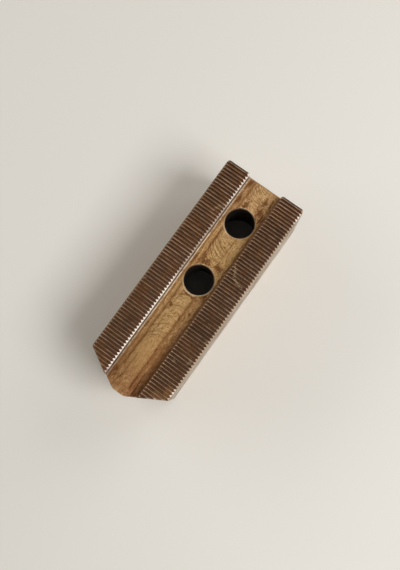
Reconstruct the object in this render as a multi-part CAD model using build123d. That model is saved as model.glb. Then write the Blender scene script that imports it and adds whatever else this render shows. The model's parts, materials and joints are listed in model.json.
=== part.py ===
from build123d import *
from math import radians, tan
import os

# A soft top jaw for a three-jaw chuck, machined from one block of steel.
# It rests on its plain gripping face, with the serrated mounting face up.
# +X runs from the rear end to the nose, +Y across and +Z up, and the origin
# is under the middle of the block, on the gripping face.
# Lengths are in millimetres and angles in degrees.

# Block
length = 107.3
width = 39.0
height = 42.0
rear_corner_radius = 1.2
gripping_face_chamfer = 0.5

# Nose, with two slanted sides and a blunt tip
nose_side_angle = 30.0
tip_width = 5.7
tip_corner_radius = 4.0
shoulder_radius = 1.0

# Key slot, along the middle of the mounting face
slot_width = 16.6
slot_depth = 5.0
slot_corner_radius = 0.6
slot_mouth_chamfer = 0.6

# Serrations, cut across the two ribs beside the slot
pitch = 1.5
tooth_angle = 60.0
crest_flat = 0.25
root_flat = 0.15
first_crest = 1.0
rib_edge_chamfer = 0.9

# Two bolt holes, counterbored from the gripping face
bolt_spacing = 30.0
rear_bolt_setback = 19.5
bolt_hole_radius = 6.5
bolt_rim_chamfer = 0.4
counterbore_radius = 10.0
counterbore_depth = 22.0
counterbore_rim_chamfer = 0.5

# How far a cutter runs past the surface that it cuts
overrun = 2.0

rear_x = -length / 2
tip_x = length / 2
slot_floor_z = height - slot_depth
bolt_xs = [rear_x + rear_bolt_setback, rear_x + rear_bolt_setback + bolt_spacing]


def block():
    """The block from its outline seen from above, with rounded corners."""
    nose_run = (width - tip_width) / 2 * tan(radians(nose_side_angle))
    shoulder_x = tip_x - nose_run
    half = [(rear_x, width / 2), (shoulder_x, width / 2), (tip_x, tip_width / 2)]
    other_half = [(x, -y) for x, y in reversed(half)]
    plan = make_face(Polyline(*half, *other_half, close=True))
    plan = fillet(plan.vertices().group_by(Axis.X)[1], shoulder_radius)
    plan = fillet(plan.vertices().group_by(Axis.X)[0], rear_corner_radius)
    plan = fillet(plan.vertices().group_by(Axis.X)[-1], tip_corner_radius)
    solid = extrude(plan, amount=height)
    return chamfer(solid.faces().sort_by(Axis.Z)[0].edges(), gripping_face_chamfer)


def slot_cutter():
    """A U section with small corner radii, run right through the block."""
    section = Rectangle(slot_width, slot_depth + overrun, align=(Align.CENTER, Align.MIN))
    section = fillet(section.vertices().group_by(Axis.Y)[0], slot_corner_radius)
    section = Plane.YZ * Pos(0, slot_floor_z) * section
    return extrude(section, amount=length / 2 + overrun, both=True)


def serration_cutter():
    """A comb that cuts every groove of both ribs at once."""
    flank_run = (pitch - crest_flat - root_flat) / 2
    depth = flank_run / tan(radians(tooth_angle / 2))
    comb = []
    for tooth in range(int((length - first_crest) / pitch)):
        start = rear_x + first_crest + tooth * pitch + crest_flat / 2
        root = start + flank_run
        comb.append((start, height))
        comb.append((root, height - depth))
        comb.append((root + root_flat, height - depth))
        comb.append((root + root_flat + flank_run, height))
    comb.append((comb[-1][0], height + overrun))
    comb.append((comb[0][0], height + overrun))
    section = Plane.XZ * make_face(Polyline(*comb, close=True))
    return extrude(section, amount=width / 2 + overrun, both=True)


def bolt_hole_cutter():
    """One stepped hole, revolved: the head's counterbore, the bore and both rims."""
    counterbore_rim = counterbore_radius + counterbore_rim_chamfer
    bolt_rim = bolt_hole_radius + bolt_rim_chamfer
    section = Polyline(
        (0, -overrun),
        (counterbore_rim, -overrun),
        (counterbore_rim, 0),
        (counterbore_radius, counterbore_rim_chamfer),
        (counterbore_radius, counterbore_depth),
        (bolt_hole_radius, counterbore_depth),
        (bolt_hole_radius, slot_floor_z - bolt_rim_chamfer),
        (bolt_rim, slot_floor_z),
        (bolt_rim, slot_floor_z + overrun),
        (0, slot_floor_z + overrun),
        close=True,
    )
    return revolve(Plane.XZ * make_face(section), Axis.Z)


def soft_jaw():
    """The slot first, then its broken edges, the teeth and the holes."""
    blank = block()
    slot = slot_cutter()
    jaw = blank - slot
    slot_edges = new_edges(blank, slot, combined=jaw)
    jaw = chamfer(slot_edges.group_by(Axis.X)[0], slot_mouth_chamfer)
    rib_tops = jaw.faces().group_by(Axis.Z)[-1]
    jaw = chamfer(rib_tops.edges(), rib_edge_chamfer)
    jaw -= serration_cutter()
    for bolt_x in bolt_xs:
        jaw -= Pos(bolt_x, 0, 0) * bolt_hole_cutter()
    return jaw.solid()


os.makedirs("parts", exist_ok=True)
export_step(soft_jaw(), "parts/soft_jaw.step")
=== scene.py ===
import functools
import json
import math
import bmesh
import bpy
from mathutils import Matrix, Vector


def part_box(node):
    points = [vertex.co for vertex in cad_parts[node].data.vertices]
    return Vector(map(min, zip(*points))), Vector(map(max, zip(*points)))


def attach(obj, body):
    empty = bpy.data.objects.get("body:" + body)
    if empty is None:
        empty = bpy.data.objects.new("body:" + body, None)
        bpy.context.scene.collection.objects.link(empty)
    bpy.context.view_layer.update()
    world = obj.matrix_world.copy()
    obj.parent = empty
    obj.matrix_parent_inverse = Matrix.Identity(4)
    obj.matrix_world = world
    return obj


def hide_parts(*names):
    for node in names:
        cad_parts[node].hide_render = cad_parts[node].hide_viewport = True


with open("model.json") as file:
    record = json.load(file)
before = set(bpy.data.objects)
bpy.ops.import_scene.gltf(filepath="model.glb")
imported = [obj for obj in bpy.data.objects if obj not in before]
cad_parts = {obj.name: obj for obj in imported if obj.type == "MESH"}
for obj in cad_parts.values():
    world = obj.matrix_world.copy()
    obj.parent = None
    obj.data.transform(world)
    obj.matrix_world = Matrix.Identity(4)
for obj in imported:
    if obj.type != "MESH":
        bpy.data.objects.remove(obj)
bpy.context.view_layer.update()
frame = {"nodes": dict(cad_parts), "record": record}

mm = 0.001
jawLow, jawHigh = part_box("soft_jaw")
blockSize = [(high - low) / mm for low, high in zip(jawLow, jawHigh)]
blockLength, blockWidth = blockSize[:2]

# the bolt holes' places: along from the rear end and across from the left side
boltPlaces = sorted({
    (round(m["pos_m"][0] / mm + blockLength / 2, 3), round(m["pos_m"][1] / mm + blockWidth / 2, 3))
    for m in frame["record"]["mounts"] if m["kind"] == "bore"})
print("frame loaded: block", [round(side, 2) for side in blockSize], "mm, bolts at", boltPlaces)


# Shader maths

class Wire:
    # one output of a node, so that masks are plain sums
    def __init__(self, wiring, socket):
        self.wiring = wiring
        self.socket = socket

    def maths(self, operation, *values, clamp=False):
        settings = dict(operation=operation, use_clamp=clamp)
        return self.wiring.node("ShaderNodeMath", settings, dict(enumerate(values)))

    def __add__(self, other):
        return self.maths("ADD", self, other)

    __radd__ = __add__

    def __sub__(self, other):
        return self.maths("SUBTRACT", self, other)

    def __rsub__(self, other):
        return self.maths("SUBTRACT", other, self)

    def __mul__(self, other):
        return self.maths("MULTIPLY", self, other)

    __rmul__ = __mul__

    def __abs__(self):
        return self.maths("ABSOLUTE", self)

    def squareRoot(self):
        return self.maths("SQRT", self)

    def most(self, other):
        return self.maths("MAXIMUM", self, other)

    def least(self, other):
        return self.maths("MINIMUM", self, other)

    def clamped(self):
        return self.maths("ADD", self, 0, clamp=True)

    def fromNearest(self, first, pitch):
        # distance from the nearest of the lines that start at first and follow at each pitch
        return self.maths("PINGPONG", self - first, pitch / 2)

    def rise(self, start, end):
        # 0 below start, 1 above end, smooth between; falls where start is above end
        flip = start > end
        ends = {1: min(start, end), 2: max(start, end), 3: int(flip), 4: int(not flip)}
        settings = dict(interpolation_type="SMOOTHSTEP")
        return self.wiring.node("ShaderNodeMapRange", settings, {0: self, **ends})

    def band(self, centre, half, soft):
        # 1 within half of centre, gone half + soft away
        return abs(self - centre).rise(half + soft, half)

    def steps(self, first, *changes):
        # a weight that starts as first and changes by so much over each (start, end, change)
        weight = first
        for start, end, change in changes:
            weight = weight + self.rise(start, end) * change
        return weight


class Wiring:
    # a node tree being wired up
    def __init__(self, tree):
        self.tree = tree

    def node(self, kind, settings=None, inputs=None, out=0):
        made = self.tree.nodes.new(kind)
        for name, value in (settings or {}).items():
            setattr(made, name, value)
        for name, value in (inputs or {}).items():
            if isinstance(value, Wire):
                self.tree.links.new(value.socket, made.inputs[name])
            else:
                made.inputs[name].default_value = value
        return made if out is None else Wire(self, made.outputs[out])

    def vectors(self, operation, *values, out=0):
        # vector maths; out is 1 where the answer is a number
        inputs = dict(enumerate(values))
        return self.node("ShaderNodeVectorMath", dict(operation=operation), inputs, out)

    def point(self, x, y, z=0.0):
        return self.node("ShaderNodeCombineXYZ", inputs={0: x, 1: y, 2: z})

    def parts(self, vector):
        split = self.node("ShaderNodeSeparateXYZ", inputs={0: vector}, out=None)
        return [Wire(self, socket) for socket in split.outputs]

    def blend(self, mask, under, over):
        settings = dict(data_type="RGBA", clamp_factor=True)
        return self.node("ShaderNodeMix", settings, {0: mask, 6: under, 7: over}, out=2)


seedWays = (1.0, 0.37, 0.71)  # how far a seed moves a pattern each way


class Finish(Wiring):
    # a material on one Principled shader, with places in millimetres:
    # along from the rear end, across from the left side and up from the floor
    def __init__(self, name, **constants):
        self.material = bpy.data.materials.new(name)
        self.material.use_nodes = True
        super().__init__(self.material.node_tree)
        self.tree.nodes.clear()
        output = self.node("ShaderNodeOutputMaterial", out=None)
        self.shader = self.node("ShaderNodeBsdfPrincipled", out=None)
        self.tree.links.new(self.shader.outputs[0], output.inputs["Surface"])
        for socket, value in constants.items():
            self.shader.inputs[socket.replace("_", " ")].default_value = value
        place = self.node("ShaderNodeTexCoord", out="Object")
        corner = (blockLength / 2, blockWidth / 2, 0)
        self.place = self.vectors("MULTIPLY_ADD", place, (1 / mm,) * 3, corner)
        self.along, self.across, self.up = self.parts(self.place)

    def facings(self):
        # how far the surface faces the nose, the right side and up, each from -1 to 1
        return self.parts(self.node("ShaderNodeTexCoord", out="Normal"))

    def leftHalf(self):
        # 1 on the left side of the slot and 0 on its right side
        return self.across.rise(20, 18)

    def noise(self, detail, seed, stretch=(1, 1, 1), scale=1.0, roughness=0.55, place=None):
        # cloudy pattern about 0.5; stretch is how many times finer it is along each way
        shift = tuple(seed * way for way in seedWays)
        moved = self.vectors("MULTIPLY_ADD", place or self.place, tuple(stretch), shift)
        return self.node("ShaderNodeTexNoise", inputs={
            "Vector": moved, "Scale": scale, "Detail": detail, "Roughness": roughness})

    def flat(self, wobble, seed, scale=0.45, detail=3.0):
        # the place seen from above, moved about by up to half of wobble, so that what is drawn wavers
        moved = self.vectors("ADD", self.place, (seed, seed, seed))
        inputs = {"Vector": moved, "Scale": scale, "Detail": detail}
        drift = self.node("ShaderNodeTexNoise", inputs=inputs, out=1)
        level = self.point(self.along - wobble / 2, self.across - wobble / 2)
        return self.vectors("MULTIPLY_ADD", drift, (wobble, wobble, 0), level)

    def nearEnough(self, gaps, half, soft, ragged, breakUp):
        # a mask where the least of the gaps is under half, with an edge roughened by a pattern
        nearest = functools.reduce(Wire.least, gaps)
        return (nearest + (breakUp - 0.5) * ragged).rise(half + soft, half)

    def strokes(self, lines, half, soft, ragged, breakUp, place):
        # a mask along each of the lines, which are lists of places (along, across)
        gaps = []
        for line in lines:
            for start, end in zip(line, line[1:]):
                way = Vector(end) - Vector(start)
                away = self.vectors("SUBTRACT", place, (*start, 0))
                run = self.vectors("DOT_PRODUCT", away, (*way, 0), out=1)
                share = (run * (1 / way.length_squared)).clamped()
                foot = self.vectors("MULTIPLY", (*way, 0), share)
                gaps.append(self.vectors("DISTANCE", away, foot, out=1))
        return self.nearEnough(gaps, half, soft, ragged, breakUp)

    def arcs(self, middles, across, radius, side, ragged, breakUp, place, half=0.05, soft=0.45):
        # a mask along half circles about the places (middle, across): the nose's half where side
        # is 1 and the rear's where it is -1
        gaps = []
        for middle in middles:
            away = self.vectors("SUBTRACT", place, (middle, across, 0))
            reach = self.vectors("LENGTH", away, out=1)
            behind = (self.along - middle).rise(0, -side)
            gaps.append(abs(reach - radius) + behind * radius)
        return self.nearEnough(gaps, half, soft, ragged, breakUp)

    def blots(self, places, ragged, breakUp, place, half=0.85, soft=0.55):
        # a mask over ragged ovals, each (along, across, reach along, reach across)
        gaps = []
        for x, y, reachX, reachY in places:
            finer = (1 / reachX, 1 / reachY, 0)
            away = self.vectors("MULTIPLY_ADD", place, finer, (-x / reachX, -y / reachY, 0))
            gaps.append(self.vectors("LENGTH", away, out=1))
        return self.nearEnough(gaps, half, soft, ragged, breakUp)

    def ring(self, middle, reach, half, soft):
        # a mask along a circle about an upright axis at a place (along, across)
        level = self.point(self.along, self.across)
        return self.vectors("DISTANCE", level, (*middle, 0), out=1).band(reach, half, soft)

    def swing(self, fromMiddle, radius):
        # how far ahead of its middle a round cutter reaches, this far to one side of it
        return (radius ** 2 - fromMiddle * fromMiddle).squareRoot()

    def paint(self, **sockets):
        for name, wire in sockets.items():
            self.tree.links.new(wire.socket, self.shader.inputs[name.replace("_", " ")])

    def bump(self, height, depth):
        # depth is how many millimetres a height of 1 stands up
        self.paint(Normal=self.node("ShaderNodeBump", inputs={"Distance": depth * mm, "Height": height}))


def tone(red, green, blue):
    # a colour as a paint program gives it, 0 to 255
    def linear(level):
        share = level / 255
        return share / 12.92 if share <= 0.04045 else ((share + 0.055) / 1.055) ** 2.4
    return linear(red), linear(green), linear(blue), 1.0


# Finishes. In their dictionaries a fade or an edge is (start, end), a band (centre, half, soft)
# and a weight its first value, followed by its changes along the jaw as (start, end, change).

slotLook = dict(
    rearTan=tone(176, 139, 94), middleTan=tone(176, 141, 91), noseBrown=tone(136, 92, 54),
    stripBrown=tone(124, 76, 38), rustBrown=tone(108, 66, 28), redRust=tone(112, 64, 26),
    lineBrown=tone(84, 48, 16), oilDark=tone(84, 44, 16), footShadowBrown=tone(98, 58, 28),
    paleScrape=tone(206, 175, 128), rimGlintSteel=tone(226, 208, 180), cornerTan=tone(184, 164, 141),
    noseLilac=tone(134, 110, 96),

    cutterRadius=8.5, cutterMiddle=22.3, cutterTurn=(48, 54), feedBand=(18.4, 3.6, 1.2),
    rearFade=(8, 36), frontFade=(74, 84), noseFade=(84, 107), lastFade=(94, 102), calmFade=(74, 86),
    rustFade=(92, 104), lilacFade=(98, 100.5),
    leftStripEdge=(14.9, 14.3), leftStripWeight=(0.2, (68, 90, 0.14), (94, 102, -0.26)),
    rightStripEdge=(21.9, 22.9), rightStripWeight=(0.05, (36, 88, 0.74)),
    footEdge=(25.95, 26.9), footWeight=(0.82, (50, 70, -0.2), (76, 88, 0.1), (98, 103, 0.15)),
    tipFade=(105.2, 107.2), tipBand=(19.5, 2.5, 3),
    cornerEdge=(12.2, 11.85), cornerWeight=(0.36, (50, 60, 0.12), (86, 100, -0.2)),
    besideCorner=(12.42, 0.2, 0.5), besideHoles=(13.2, 12.6), holesReach=(3, 4),

    longLines=[
        [(0, 15.0), (14, 14.7), (60, 14.6), (96, 14.4)],
        [(56, 22.6), (80, 22.2), (97, 22.3), (103, 22.4)],
    ],
    lineBand=(32, 7, 3),
    fineLines=[
        [(0, 16.5), (10, 16.6)],
        [(56, 16.6), (66, 16.3)],
        [(69, 16.5), (79, 16.7)],
        [(89.5, 16.7), (95.3, 16.7), (99.4, 16.5), (103, 15.9), (106.6, 15.3)],
        [(95, 24.3), (101, 24.6), (105.4, 24.9)],
        [(25, 22.4), (41, 22.2)],
    ],
    fineWeight=(0.55, (96, 99, 0.45)),
    rearCrescents=[24.6, 26.3, 28.2, 30.4], rearCrescentBand=(33, 8, 2),
    frontCrescents=[65.0, 70.9, 80.5, 84.3, 86.2],
    crescentEdges=[(13.9, 14.8), (23.5, 21.5)],
    rimBand=(6.95, 0.05, 0.3),
    rimGlints=[
        (12.6, 18.6, 1.4, 4.0), (43.4, 17.6, 1.8, 4.4), (25.0, 16.2, 1.4, 2.4), (56.3, 19.0, 0.7, 4.0),
        (51.6, 26.1, 2.8, 1.2),
    ],
    rustPatches=[
        (2.4, 13.2, 1.8, 0.8), (11.0, 23.8, 2.4, 1.3), (41.6, 17.4, 1.5, 2.2), (40.9, 23.4, 1.6, 1.4),
        (40.2, 15.9, 2.6, 0.9), (57.2, 20.6, 0.5, 2.4), (64.5, 15.8, 0.7, 0.7), (11.8, 16.8, 1.7, 0.8),
        (6.0, 23.2, 1.6, 0.8), (54.0, 25.4, 2.0, 0.8), (10.8, 12.9, 2.2, 0.7), (42.8, 12.8, 1.9, 0.5),
        (5.8, 25.9, 2.8, 0.4), (12.6, 25.8, 2.0, 0.6), (100.2, 13.5, 1.6, 0.7),
    ],
    oilSpots=[
        (76.6, 12.5, 0.6, 0.35), (78.3, 12.4, 0.5, 0.35), (83.9, 22.3, 0.8, 0.3), (67.5, 22.3, 1.0, 0.3),
        (100.6, 22.4, 2.7, 0.36), (90.3, 22.4, 0.6, 0.3), (63.7, 24.7, 0.5, 0.5), (101.0, 12.3, 3.2, 0.25),
        (103.0, 24.7, 2.6, 0.34), (104.4, 25.8, 0.8, 0.8), (106.7, 17.2, 0.3, 0.3), (12.6, 17.0, 0.7, 0.4),
        (10.6, 16.4, 0.6, 0.3),
    ],
)


def slotFloorFinish(look):
    f = Finish("milled_slot_floor", Specular_IOR_Level=0.2)
    flat = f.flat(wobble=1.3, seed=3)
    patches = f.noise(stretch=(0.22, 0.6, 1), detail=5, roughness=0.6, seed=11)
    streaks = f.noise(stretch=(0.35, 1.9, 1), detail=6, roughness=0.7, seed=14)
    mottle = f.noise(stretch=(1.1, 1.2, 1), detail=6, roughness=0.75, seed=33)
    flecks = f.noise(scale=2.3, detail=3, roughness=0.7, seed=41)
    frontEnd = f.along.rise(*look["frontFade"])
    noseEnd = f.along.rise(*look["noseFade"])

    # tan steel, redder towards the nose and in the strips outside the two long lines
    colour = f.blend(f.along.rise(*look["rearFade"]), look["rearTan"], look["middleTan"])
    colour = f.blend(frontEnd * 0.26 + noseEnd * 0.69, colour, look["noseBrown"])
    leftStrip = f.across.rise(*look["leftStripEdge"]) * f.along.steps(*look["leftStripWeight"])
    rightStrip = f.across.rise(*look["rightStripEdge"]) * f.along.steps(*look["rightStripWeight"])
    strips = leftStrip.most(rightStrip)
    colour = f.blend(strips * patches.rise(0.3, 0.46), colour, look["stripBrown"])

    # streaks, mottling and flecks, each partly rusty and partly scraped pale, calmer in the front half
    calm = f.along.rise(*look["calmFade"]) * (1 - f.along.rise(*look["lastFade"]) * 0.5)
    rustier = 0.4 + strips * 0.4 - calm * 0.15 + f.along.rise(*look["rustFade"]) * 0.2
    paler = 0.5 - strips.most(calm * 0.8) * 0.4
    colour = f.blend(streaks.rise(0.48, 0.6) * rustier, colour, look["rustBrown"])
    colour = f.blend(streaks.rise(0.47, 0.38) * paler, colour, look["paleScrape"])
    colour = f.blend(mottle.rise(0.52, 0.62) * (0.65 - calm * 0.3), colour, look["rustBrown"])
    colour = f.blend(mottle.rise(0.46, 0.36) * (0.5 - calm * 0.3), colour, look["paleScrape"])
    colour = f.blend(flecks.rise(0.55, 0.64) * (0.6 - calm * 0.4), colour, look["lineBrown"])
    colour = f.blend(flecks.rise(0.44, 0.35) * (0.6 - calm * 0.4), colour, look["paleScrape"])

    # fine feed marks and bold crescents, which curve one way up to the front hole and then the other
    radius, middle = look["cutterRadius"], look["cutterMiddle"]
    front = f.along.rise(*look["cutterTurn"])
    swing = f.swing((f.across - middle).least(radius).most(-radius), radius)
    feed = f.point(f.along + swing * (front * 2 - 1), f.across * 0.16)
    feedMarks = f.noise(scale=2.0, detail=5, roughness=0.7, seed=5, place=feed) - 0.5
    feedMarks = feedMarks * f.across.band(*look["feedBand"]) * (1 - front * 0.35 - calm * 0.4)
    colour = f.blend(feedMarks.rise(0.01, 0.1) * 0.55, colour, look["paleScrape"])
    colour = f.blend(feedMarks.rise(-0.01, -0.1) * 0.65, colour, look["rustBrown"])
    circle = dict(across=middle, radius=radius, ragged=2.0, breakUp=mottle, place=flat)
    rearOnes = f.arcs(look["rearCrescents"], side=1, **circle) * f.along.band(*look["rearCrescentBand"])
    frontOnes = f.arcs(look["frontCrescents"], side=-1, **circle) * front
    crescents = rearOnes.most(frontOnes)
    for edge in look["crescentEdges"]:
        crescents = crescents * f.across.rise(*edge)
    colour = f.blend(crescents * (0.5 - front * 0.12), colour, look["lineBrown"])

    # scored lines where the passes meet, then rust, oil and a dark band at the foot of the right wall,
    # partly stain and partly painted shadow of the wall
    stained = f.strokes(look["longLines"], half=0.1, soft=1.2, ragged=3.0, breakUp=streaks, place=flat)
    colour = f.blend(stained * 0.45, colour, look["redRust"])
    lines = f.strokes(look["longLines"], half=0.06, soft=0.36, ragged=1.6, breakUp=mottle, place=flat)
    lines = lines * (0.52 + f.along.band(*look["lineBand"]) * 0.2)
    fine = f.strokes(look["fineLines"], half=0.02, soft=0.34, ragged=1.6, breakUp=mottle, place=flat)
    lines = lines.most(fine * f.along.steps(*look["fineWeight"]))
    colour = f.blend(lines, colour, look["lineBrown"])
    rusty = f.blots(look["rustPatches"], ragged=9.0, breakUp=mottle, place=flat)
    rust = f.blend(streaks.rise(0.45, 0.58), look["redRust"], look["lineBrown"])
    colour = f.blend(rusty * 0.9, colour, rust)
    # painted shadow mixed with stain along the foot of the right wall
    foot = (f.across - frontEnd * 0.25 + (streaks - 0.5) * 4.0).rise(*look["footEdge"])
    colour = f.blend(foot * f.along.steps(*look["footWeight"]), colour, look["footShadowBrown"])
    oily = f.blots(look["oilSpots"], ragged=3.0, breakUp=mottle, place=flat)
    colour = f.blend(oily * 0.75, colour, look["oilDark"])

    # a thin painted highlight ring about parts of each bolt hole, and the tip, where the film is rubbed
    # paler
    rings = [f.ring(place, *look["rimBand"]) for place in boltPlaces]
    paintedGlint = f.blots(look["rimGlints"], ragged=4.0, breakUp=mottle, place=flat)
    paintedGlint = functools.reduce(Wire.most, rings) * paintedGlint
    colour = f.blend(paintedGlint * 0.4, colour, look["rimGlintSteel"])
    tip = f.along.rise(*look["tipFade"]) * f.across.band(*look["tipBand"])
    colour = f.blend(tip * (0.12 + mottle.rise(0.55, 0.45) * 0.16), colour, look["paleScrape"])

    # the left corner's radius carries a pale painted highlight line, and the film is darker beside it
    besideCorner = f.across.band(*look["besideCorner"]) * streaks.rise(0.36, 0.5)
    atHoles = [f.along.band(place[0], *look["holesReach"]) for place in boltPlaces]
    besideHoles = functools.reduce(Wire.most, atHoles) * f.across.rise(*look["besideHoles"])
    colour = f.blend((besideCorner * 0.55).most(besideHoles * 0.55), colour, look["rustBrown"])
    corner = f.across.rise(*look["cornerEdge"]) * mottle.rise(0.57, 0.46)
    colour = f.blend(corner * f.along.steps(*look["cornerWeight"]), colour, look["cornerTan"])
    colour = f.blend(corner * f.along.rise(*look["lilacFade"]) * 0.8, colour, look["noseLilac"])

    f.paint(
        Base_Color=colour,
        Roughness=0.44 + patches * 0.2 + rusty * 0.2 - feedMarks * 0.5,
        Metallic=0.6 - noseEnd * 0.2 - strips * 0.15 - rusty * 0.3,
    )
    f.bump(feedMarks * 1.5 + mottle * 0.5 - lines * 0.8 - crescents * 0.4, depth=0.06)
    return f.material


def glintAlong(f, look):
    # how bright the painted highlight along the slot's left edge is, which is least beside the two holes
    rear = f.along.rise(*look["glintRear"]) * 0.8
    return rear.most(f.along.rise(*look["glintFront"])).most(look["glintLeast"])


ribLook = dict(
    crestSteel=tone(144, 111, 84), crestBright=tone(190, 156, 126), flankBrown=tone(97, 63, 37),
    rootBrown=tone(120, 82, 52), upperFlankShade=tone(60, 37, 20), wearPale=tone(132, 100, 73),
    glintWhite=tone(240, 226, 210), glintTan=tone(176, 148, 118), noseTan=tone(146, 108, 70),
    rustBrown=tone(120, 79, 45), lilacGrey=tone(88, 64, 50), scrapedSteel=tone(184, 160, 128),
    oilDark=tone(46, 30, 20),

    crestUp=41.97, rootUp=41.05, rearEdge=(1.1, 0.6), rearFade=(6, 14), noseFade=(86, 104),
    rightFade=(20, 30), rightMiddle=[(20, 27), (34, 30)], dimFade=(48, 60), dimEnd=(100, 90),
    slotEdge=(10.8, 11.1), outerEdge=(38.7, 38.95), outerFade=(52, 66),
    glintRear=(26, 12), glintFront=(42, 58), glintLeast=0.42, glintNose=(100, 102.4),

    scratch=[(35.4, 28.1), (37.2, 29.6), (38.4, 30.6), (40.6, 31.6), (41.9, 33.6), (42.5, 36.4)],
    scuff=[(15.2, 11.0), (17.4, 10.2), (19.8, 8.8), (22.4, 7.2)],
    paleMarks=[
        (80.0, 37.0, 1.2, 0.8), (69.5, 37.6, 0.9, 0.6), (83.0, 31.0, 0.8, 0.6), (37.8, 29.8, 1.0, 0.9),
        (62.0, 1.2, 0.5, 0.5),
    ],
    tanEnds=[(95.6, 36.9, 3.4, 1.5), (98.8, 34.6, 1.4, 2.6)],
    darkPatches=[
        (67.2, 35.2, 2.4, 4.2), (17.6, 5.0, 2.2, 1.8), (14.0, 36.0, 3.6, 1.6), (81.0, 6.6, 5.0, 1.6),
    ],
)


def ribFinish(look):
    f = Finish("serrated_rib", Metallic=0.6)
    flat = f.flat(wobble=2.0, seed=2)
    height = (f.up - look["rootUp"]) * (1 / (look["crestUp"] - look["rootUp"]))
    combed = f.noise(stretch=(5, 0.35, 2), detail=5, roughness=0.65, seed=2)
    patches = f.noise(stretch=(0.15, 0.2, 0), detail=5, roughness=0.6, seed=9)
    mottle = f.noise(stretch=(1.2, 0.9, 1.2), detail=6, roughness=0.72, seed=19)
    glints = f.noise(stretch=(0.7, 0.14, 0), detail=3, roughness=0.6, seed=29)

    # brown roots and flanks with a painted shade that darkens them upwards, with lilac, rusty, oily and
    # tan stains
    colour = f.blend(height.rise(0.05, 0.4), look["rootBrown"], look["flankBrown"])
    colour = f.blend(height.rise(0.4, 0.9) * 0.85, colour, look["upperFlankShade"])
    darker = f.across.rise(*look["rightFade"]) * f.along.rise(*look["rearFade"])
    colour = f.blend(darker * 0.3, colour, look["oilDark"])
    colour = f.blend(patches.rise(0.49, 0.6) * 0.6, colour, look["lilacGrey"])
    rusty = (patches.rise(0.46, 0.36) * 0.45).most(f.along.rise(*look["noseFade"]) * 0.4)
    colour = f.blend(rusty, colour, look["rustBrown"])
    colour = f.blend(mottle.rise(0.5, 0.6) * 0.4, colour, look["oilDark"])
    colour = f.blend(mottle.rise(0.46, 0.36) * 0.3, colour, look["wearPale"])
    dark = f.blots(look["darkPatches"], ragged=5.0, breakUp=patches, place=flat) * 0.3
    colour = f.blend(dark, colour, look["oilDark"])
    tanEnd = f.blots(look["tanEnds"], ragged=3.0, breakUp=mottle, place=flat)
    colour = f.blend(tanEnd * 0.55, colour, look["noseTan"])

    # thin worn crests with a painted highlight, brightest along the middle of the right rib and dimmer
    # towards the nose
    crestWearAndShine = (height + (combed - 0.5) * 0.35 + (patches - 0.5) * 0.15).rise(0.97, 1.015)
    outwards, inwards = [f.across.rise(*edge) for edge in look["rightMiddle"]]
    glint = glints.rise(0.44, 0.6).most(outwards * inwards * 0.5)
    crest = f.blend(glint, look["crestSteel"], look["crestBright"])
    dimmer = (darker * f.along.rise(*look["dimEnd"])).most(f.along.rise(*look["dimFade"]) * 0.6)
    colour = f.blend(crestWearAndShine * (0.88 - dimmer * 0.24 - dark * 0.6), colour, crest)
    colour = f.blend(f.along.rise(*look["rearEdge"]) * 0.8, colour, look["oilDark"])

    # the grooves' ends get a painted highlight along the slot's left edge, and a little along the outer
    # one
    slotEndGlints = f.across.rise(*look["slotEdge"]) * f.leftHalf() * glintAlong(f, look)
    slotEndGlints = slotEndGlints * (1 - f.along.rise(*look["glintNose"]) * 0.6)
    outerEndGlints = f.across.rise(*look["outerEdge"]) * (1 - f.along.rise(*look["outerFade"]) * 0.6)
    colour = f.blend(outerEndGlints * 0.6, colour, look["glintTan"])
    colour = f.blend(slotEndGlints * 0.9, colour, look["glintWhite"])

    # a kinked scratch on the right rib, a scuff on the left one and a few small marks
    scratch = f.strokes([look["scratch"]], half=0.05, soft=0.4, ragged=3.5, breakUp=mottle, place=flat)
    scuff = f.strokes([look["scuff"]], half=0.2, soft=0.8, ragged=4.0, breakUp=mottle, place=flat)
    marks = f.blots(look["paleMarks"], ragged=4.0, breakUp=mottle, place=flat) * 0.5
    scraped = scratch.most(scuff * height.rise(0.3, 0.9)).most(marks)
    colour = f.blend(scraped * 0.6, colour, look["scrapedSteel"])
    f.paint(Base_Color=colour, Roughness=0.52 - crestWearAndShine * 0.14 + mottle * 0.1)
    f.bump(combed * 0.5 + mottle * 0.4 - scraped * 0.6, depth=0.03)
    return f.material


edgeLook = dict(
    glintWhite=tone(255, 246, 236), dimGlint=tone(252, 234, 218), glintTan=tone(176, 146, 112),
    dullBrown=tone(96, 68, 45), darkBrown=tone(68, 44, 26), rimGlintSteel=tone(206, 178, 138),
    lowerSteel=tone(206, 192, 172), tipSteel=tone(178, 149, 116), mouthTan=tone(150, 114, 74),

    firstCrest=1.0, toothPitch=1.5, crestEdge=(0.42, 0.14), tipUp=41.15,
    outerEdge=(34, 35), rightFade=(20, 22),
    rimEdge=(37.4, 37.2), rimsFrom=(5, 8), upperPart=(30, 34), lowerPart=(4, 2), ribFoot=(38, 40),
    aboveMouth=(38, 39), belowMouth=(38, 37),
    glintRear=(26, 12), glintFront=(44, 58), glintLeast=0.5, glintNose=(100, 102.4),
    brightEnds=[(4.6, 38.5, 2.2, 0.8), (17.7, 38.4, 0.4, 0.8), (94.4, 38.4, 2.0, 0.9)],
)


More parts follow.
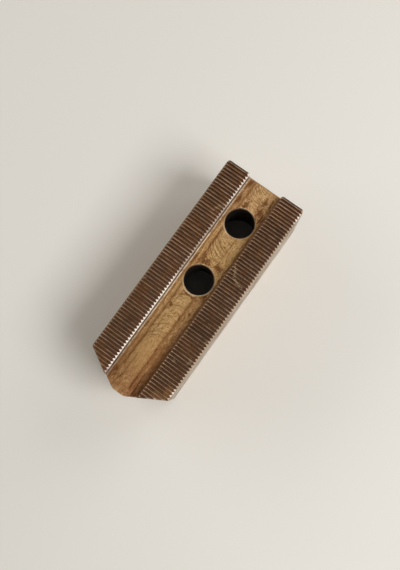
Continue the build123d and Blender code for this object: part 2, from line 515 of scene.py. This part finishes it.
def brokenEdgeFinish(look):
    f = Finish("broken_edge", Specular_IOR_Level=0.2)
    flat = f.flat(wobble=1.0, seed=6)
    patches = f.noise(stretch=(0.3, 0.5, 1), detail=5, roughness=0.6, seed=4)
    scratches = f.noise(stretch=(2, 2, 4), detail=5, roughness=0.7, seed=8)
    toNose, toRight = f.facings()[:2]
    rightward = toRight.rise(0.2, 0.5)
    leftward = toRight.rise(-0.2, -0.5)
    rearward = toNose.rise(-0.3, -0.6)
    onNose = toNose.rise(0.15, 0.3)
    outer = f.across.rise(*look["outerEdge"])
    upper = f.up.rise(*look["upperPart"])

    # brown edges, darker above and tan below where they face the rear
    colour = f.blend(patches.rise(0.42, 0.56), look["darkBrown"], look["dullBrown"])
    colour = f.blend(rearward * f.up.rise(*look["aboveMouth"]), colour, look["darkBrown"])
    colour = f.blend(rearward * f.up.rise(*look["belowMouth"]) * upper, colour, look["mouthTan"])
    # a painted tan highlight on outer edges that face right, towards the light
    colour = f.blend(rightward * outer * 0.8, colour, look["glintTan"])

    # edges of the right rib that face left are painted dark as shade, and on edges that face left the pale
    # lines of the crests run on over the brown, palest on the nose
    colour = f.blend(leftward * f.across.rise(*look["rightFade"]), colour, look["darkBrown"])
    fromCrest = f.along.fromNearest(look["firstCrest"], look["toothPitch"])
    tips = fromCrest.rise(*look["crestEdge"]) * leftward
    tips = tips * (f.up + onNose * 0.2 - look["tipUp"]).rise(0, 0.3)
    colour = f.blend(tips * (0.7 + onNose * 0.25), colour, look["tipSteel"])

    # the slot's left edge carries a bright painted highlight, and the outer one in places
    paintedGlint = glintAlong(f, look) * (1 - outer)
    paintedGlint = paintedGlint * (1 - f.along.rise(*look["glintNose"]) * 0.5) * f.up.rise(*look["ribFoot"])
    outerShine = f.blots(look["brightEnds"], ragged=4.0, breakUp=scratches, place=flat) * 0.8
    bright = paintedGlint.most(outerShine.most(0.25) * outer) * rightward * patches.rise(0.2, 0.4)
    glintColour = f.blend(bright.rise(0.5, 0.9), look["dimGlint"], look["glintWhite"])
    colour = f.blend(bright, colour, glintColour)

    # the lower edges are nearly bare, and the holes' rims carry a painted highlight where they face the
    # rear and left
    lowerWear = f.up.rise(*look["lowerPart"]) * (0.7 + patches.rise(0.6, 0.4) * 0.3)
    colour = f.blend(lowerWear, colour, look["lowerSteel"])
    rim = f.up.rise(*look["rimEdge"]) * upper
    rimGlint = toNose.rise(0.2, -0.6) * 0.55 + toRight.rise(0.2, -0.6) * 0.25
    rimGlint = rimGlint + patches.rise(0.4, 0.56) * 0.1 + 0.05
    colour = f.blend(rim * f.along.rise(*look["rimsFrom"]) * rimGlint, colour, look["rimGlintSteel"])
    f.paint(Base_Color=colour, Roughness=0.34 + scratches * 0.2, Metallic=0.5 - rim * 0.4)
    f.bump(scratches, depth=0.02)
    return f.material


wallLook = dict(
    groundSteel=tone(128, 106, 83), lilacGrey=tone(120, 101, 84), brownFilm=tone(96, 70, 45),
    rustBrown=tone(92, 56, 33), cornerTan=tone(170, 156, 140), noseLilac=tone(146, 122, 108),
    rearEnd=(18, 10), noseEnd=(94, 100), lilacFade=(98.5, 100.5), cornerEdge=(37.6, 37.2),
)


def slotWallFinish(look):
    f = Finish("slot_wall", Metallic=0.75)
    lines = f.noise(stretch=(0.2, 6, 6), detail=4, seed=6)
    patches = f.noise(stretch=(0.25, 0.8, 0.8), detail=5, roughness=0.6, seed=14)
    mottle = f.noise(stretch=(1.2, 1.2, 1.2), detail=5, roughness=0.7, seed=24)
    left = f.leftHalf()

    # ground steel under a brown film that thins at both ends; the left wall's foot carries a pale painted
    # highlight
    colour = f.blend(lines.rise(0.3, 0.7), look["groundSteel"], look["lilacGrey"])
    ends = f.along.rise(*look["rearEnd"]).most(f.along.rise(*look["noseEnd"]))
    colour = f.blend(patches.rise(0.46, 0.6) * (0.8 - ends * 0.6), colour, look["brownFilm"])
    corner = f.up.rise(*look["cornerEdge"]) * left * (0.35 + mottle.rise(0.55, 0.44) * 0.65)
    colour = f.blend(corner, colour, look["cornerTan"])
    colour = f.blend(mottle.rise(0.53, 0.65) * 0.5, colour, look["rustBrown"])
    colour = f.blend(f.along.rise(*look["lilacFade"]) * left * 0.85, colour, look["noseLilac"])
    f.paint(Base_Color=colour, Roughness=0.34 + patches * 0.2)
    f.bump(lines + mottle * 0.4, depth=0.02)
    return f.material


def millArcs(f, course, fromMiddle, radius, aside, seed):
    # the fine arcs that a face mill leaves along its course
    place = f.point(course + f.swing(fromMiddle, radius), aside * 0.02)
    return f.noise(scale=1.8, detail=4, roughness=0.75, seed=seed, place=place)


sideLook = dict(
    milledSteel=tone(168, 149, 126), darkSteel=tone(152, 133, 110), brownFilm=tone(134, 108, 80),
    rustBrown=tone(116, 78, 50), darkOil=tone(72, 52, 36), paleSteel=tone(212, 198, 182),
    cutterRadius=80.0, cutterUp=14.0, lowerEdge=(0.9, 0.2), rearCorner=(20, 10), underTeeth=(37.6, 41.8),
)


def sideFinish(look):
    f = Finish("milled_side", Metallic=0.85)
    toNose, toRight = f.facings()[:2]
    girth = f.along + f.across * (1 - toRight.rise(0.2, 0.3) * 2)
    arcs = millArcs(f, girth, f.up - look["cutterUp"], look["cutterRadius"], f.up, seed=7)
    patches = f.noise(scale=0.06, detail=6, roughness=0.6, seed=27)
    mottle = f.noise(scale=0.9, detail=6, roughness=0.72, seed=47)
    specks = f.noise(scale=1.7, detail=2, roughness=0.5, seed=57).rise(0.69, 0.73)
    scratches = f.noise(stretch=(0.05, 0.05, 3.2), detail=4, roughness=0.6, seed=61).rise(0.6, 0.66)

    # milled steel under a thin brown film in soft patches, oily under the teeth
    colour = f.blend(arcs.rise(0.38, 0.6) * 0.8, look["milledSteel"], look["darkSteel"])
    film = (patches + (mottle - 0.5) * 0.3).rise(0.42, 0.66)
    colour = f.blend(film * 0.5, colour, look["brownFilm"])
    colour = f.blend(mottle.rise(0.52, 0.7) * (0.1 + film * 0.4), colour, look["rustBrown"])
    oily = (f.up + (patches - 0.5) * 16 + (mottle - 0.5) * 8).rise(*look["underTeeth"])
    colour = f.blend(oily * 0.5, colour, look["darkOil"])
    colour = f.blend(specks * 0.7, colour, look["darkOil"])

    # scratches along the side, and bare steel at the lower edge and on the rear corners
    corner = abs(toNose).least(abs(toRight)).rise(0.25, 0.6) * f.along.rise(*look["rearCorner"])
    lower = (f.up + (mottle - 0.5) * 5).rise(*look["lowerEdge"])
    bare = lower.most(corner * mottle.rise(0.35, 0.5))
    colour = f.blend((bare * 0.5).most(scratches * 0.3), colour, look["paleSteel"])
    f.paint(Base_Color=colour, Roughness=0.2 + film * 0.24 + arcs * 0.16)
    f.bump(arcs * 0.6 - specks * 0.5 - scratches * 0.2, depth=0.03)
    return f.material


holeLook = dict(
    boredSteel=tone(92, 77, 63), boreShadeBlack=tone(38, 30, 24), rustBrown=tone(70, 46, 30), blackFade=(16, 24),
)


def boltHoleFinish(look):
    f = Finish("bored_hole", Metallic=0.4)
    rings = f.noise(stretch=(0.3, 0.3, 5), detail=4, seed=12)
    patches = f.noise(scale=0.25, detail=4, seed=22)
    colour = f.blend(patches.rise(0.46, 0.58) * 0.5, look["boredSteel"], look["rustBrown"])
    # the upper bore is painted near black as shade
    colour = f.blend(f.up.rise(*look["blackFade"]), colour, look["boreShadeBlack"])
    f.paint(Base_Color=colour, Roughness=0.4 + rings * 0.25)
    f.bump(rings, depth=0.04)
    return f.material


grippingLook = dict(
    milledSteel=tone(180, 166, 149), darkSteel=tone(160, 145, 127), brownFilm=tone(136, 110, 84),
    rustBrown=tone(110, 70, 42), paleSteel=tone(214, 204, 190), cutterRadius=31.0,
)


def grippingFaceFinish(look):
    f = Finish("face_milled_bottom", Metallic=0.85)
    arcs = millArcs(f, f.along, f.across - blockWidth / 2, look["cutterRadius"], f.across, seed=13)
    patches = f.noise(scale=0.07, detail=6, roughness=0.6, seed=23)
    mottle = f.noise(scale=0.9, detail=6, roughness=0.72, seed=43)
    scratches = f.noise(stretch=(0.06, 3.0, 1), detail=4, roughness=0.6, seed=63).rise(0.6, 0.66)
    colour = f.blend(arcs.rise(0.38, 0.6) * 0.8, look["milledSteel"], look["darkSteel"])
    film = (patches + (mottle - 0.5) * 0.4).rise(0.44, 0.66)
    colour = f.blend(film * 0.5, colour, look["brownFilm"])
    colour = f.blend(mottle.rise(0.53, 0.68) * (0.15 + film * 0.45), colour, look["rustBrown"])
    colour = f.blend(scratches * 0.3, colour, look["paleSteel"])
    f.paint(Base_Color=colour, Roughness=0.2 + film * 0.24 + arcs * 0.16)
    f.bump(arcs * 0.6 - scratches * 0.2, depth=0.03)
    return f.material


finishes = dict(
    slotFloor=slotFloorFinish(slotLook),
    rib=ribFinish(ribLook),
    brokenEdge=brokenEdgeFinish(edgeLook),
    slotWall=slotWallFinish(wallLook),
    side=sideFinish(sideLook),
    boltHole=boltHoleFinish(holeLook),
    grippingFace=grippingFaceFinish(grippingLook),
)
print("finishes built:", len(finishes))


def addObject(name, data):
    made = bpy.data.objects.new(name, data)
    bpy.context.collection.objects.link(made)
    return made


# The jaw body

jawShape = dict(
    slotHalf=8.3, slotFloorUp=37.0, toothFootUp=41.02, counterboreReach=10.6, rearEdgeReach=0.95,
    nearFace=0.03, weldReach=0.002, flatAngle=0.5, edgeWidth=0.06, edgeAngle=25, edgeSegments=2,

    # limits on how far a face looks up, down, across or to the rear, from 0 to 1
    uprightUp=0.1, rimUp=0.3, floorUp=0.95, bottomDown=0.9, slantUp=(0.5, 0.9), slantAcross=0.35,
    slantRear=0.6,
)


def finishOf(face, shape):
    # which of the finishes a face wears, from its place and the way it looks
    x, y, z = face.calc_center_median() / mm
    way = face.normal
    near = shape["nearFace"]
    fromRear = x + blockLength / 2
    fromLeft = y + blockWidth / 2
    fromAxis = min(math.hypot(fromRear - along, fromLeft - across) for along, across in boltPlaces)
    inSlot = abs(y) < shape["slotHalf"] + near and z > shape["slotFloorUp"] - near
    upright = abs(way.z) < shape["uprightUp"]
    if way.z < -shape["bottomDown"] and z < near:
        return "grippingFace"
    if fromAxis < shape["counterboreReach"] and z < shape["slotFloorUp"] - near:
        return "brokenEdge" if way.z > shape["rimUp"] else "boltHole"
    if z > shape["toothFootUp"] - near and not upright:
        least, most = shape["slantUp"]
        slanted = least < abs(way.z) < most and abs(way.y) > shape["slantAcross"]
        rearSlant = way.x < -shape["slantRear"] and fromRear < shape["rearEdgeReach"]
        return "brokenEdge" if slanted or rearSlant else "rib"
    if inSlot and way.z > shape["floorUp"]:
        return "slotFloor"
    if inSlot:
        return "slotWall"
    if upright:
        return "side"
    return "brokenEdge"


def makeJawBody(shape):
    names = list(finishes)
    mesh = bpy.data.meshes.new("jaw_body")
    bm = bmesh.new()
    bm.from_mesh(frame["nodes"]["soft_jaw"].data)
    bmesh.ops.remove_doubles(bm, verts=bm.verts, dist=shape["weldReach"] * mm)
    flatAngle = math.radians(shape["flatAngle"])
    bmesh.ops.dissolve_limit(bm, angle_limit=flatAngle, verts=bm.verts, edges=bm.edges)
    bm.normal_update()
    for face in bm.faces:
        face.material_index = names.index(finishOf(face, shape))
        face.smooth = True
    bm.to_mesh(mesh)
    bm.free()
    for name in names:
        mesh.materials.append(finishes[name])
    body = addObject("jaw_body", mesh)
    bevel = body.modifiers.new("broken edges", "BEVEL")
    bevel.width = shape["edgeWidth"] * mm
    bevel.segments = shape["edgeSegments"]
    bevel.limit_method = "ANGLE"
    bevel.angle_limit = math.radians(shape["edgeAngle"])
    bevel.harden_normals = True
    return body


jawBody = makeJawBody(jawShape)
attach(jawBody, "root")
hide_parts("soft_jaw")
print("jaw body made")


# Studio

studio = dict(
    floorSize=6.0, paleTone=tone(226, 222, 215), black=tone(0, 0, 0), backdropFade=(0.2, 0.7),
    skyLow=0.42, skyHigh=0.2, skyFade=(0.3, 1.0),
    keyPlace=(-0.05, 0.44, 0.62), keySize=(0.4, 0.34), keyPower=3.9,
    rearPlace=(-0.62, 0.2, 0.42), rearSize=(0.5, 0.5), rearPower=1.5,
    fillPlace=(0.15, -0.7, 0.3), fillSize=(0.7, 0.4), fillPower=2.2,
)


def makeFloor(look):
    bm = bmesh.new()
    bmesh.ops.create_grid(bm, x_segments=1, y_segments=1, size=look["floorSize"] / 2)
    mesh = bpy.data.meshes.new("floor")
    bm.to_mesh(mesh)
    bm.free()
    floor = addObject("floor", mesh)

    # well away from the jaw the floor shows the backdrop's own colour, so that no horizon is seen
    f = Finish("pale_floor", Roughness=0.9, Emission_Strength=1.0, Specular_IOR_Level=0.0)
    away = f.vectors("LENGTH", f.node("ShaderNodeTexCoord", out="Object"), out=1)
    seen = f.node("ShaderNodeLightPath", out="Is Camera Ray")
    backdrop = away.rise(*look["backdropFade"]) * seen
    f.paint(
        Base_Color=f.blend(backdrop, look["paleTone"], look["black"]),
        Emission_Color=f.blend(backdrop, look["black"], look["paleTone"]),
    )
    mesh.materials.append(f.material)


def makeLamp(name, place, size, power, target):
    light = bpy.data.lights.new(name, "AREA")
    light.shape = "RECTANGLE"
    light.size, light.size_y = size
    light.energy = power
    lamp = addObject(name, light)
    lamp.location = place
    lamp.rotation_euler = (Vector(target) - Vector(place)).to_track_quat("-Z", "Y").to_euler()


def makeSky(look):
    # a pale backdrop where it is seen or mirrored, and a dim light, dimmest overhead, everywhere else
    world = bpy.data.worlds.new("studio")
    world.use_nodes = True
    sky = Wiring(world.node_tree)
    path = sky.node("ShaderNodeLightPath", out=None)
    camera, glossy, transmission = [
        Wire(sky, path.outputs["Is " + kind + " Ray"]) for kind in ("Camera", "Glossy", "Transmission")]
    seen = camera.most(glossy).most(transmission)
    upward = sky.parts(sky.node("ShaderNodeTexCoord", out="Generated"))[2]
    dim = look["skyLow"] + upward.rise(*look["skyFade"]) * (look["skyHigh"] - look["skyLow"])
    strength = seen + (1 - seen) * dim
    background = sky.tree.nodes["Background"]
    background.inputs[0].default_value = look["paleTone"]
    sky.tree.links.new(strength.socket, background.inputs[1])
    bpy.context.scene.world = world


makeFloor(studio)
jawMiddle = (Vector(jawLow) + Vector(jawHigh)) / 2
for lampName in ("key", "rear", "fill"):
    makeLamp(lampName, *[studio[lampName + part] for part in ("Place", "Size", "Power")], jawMiddle)
makeSky(studio)


# Camera, standing over the jaw with its nose to the lower left

cameraView = dict(
    place=(27.22, 30.59, 333.3), looksAt=(-2.27, 2.16, 42.0), right=(-0.5834, 0.8120, -0.0202),
    lens=44.63, sensor=36.0, clipStart=0.01,
)


def makeCamera(view):
    camera = bpy.data.cameras.new("camera")
    camera.lens = view["lens"]
    camera.sensor_width = view["sensor"]
    camera.clip_start = view["clipStart"]
    stand = addObject("camera", camera)
    back = (Vector(view["place"]) - Vector(view["looksAt"])).normalized()
    up = back.cross(Vector(view["right"])).normalized()
    right = up.cross(back)
    turn = Matrix((right, up, back)).transposed().to_4x4()
    stand.matrix_world = Matrix.Translation(Vector(view["place"]) * mm) @ turn
    bpy.context.scene.camera = stand


makeCamera(cameraView)
bpy.context.scene.view_settings.view_transform = "Standard"
print("studio and camera set")
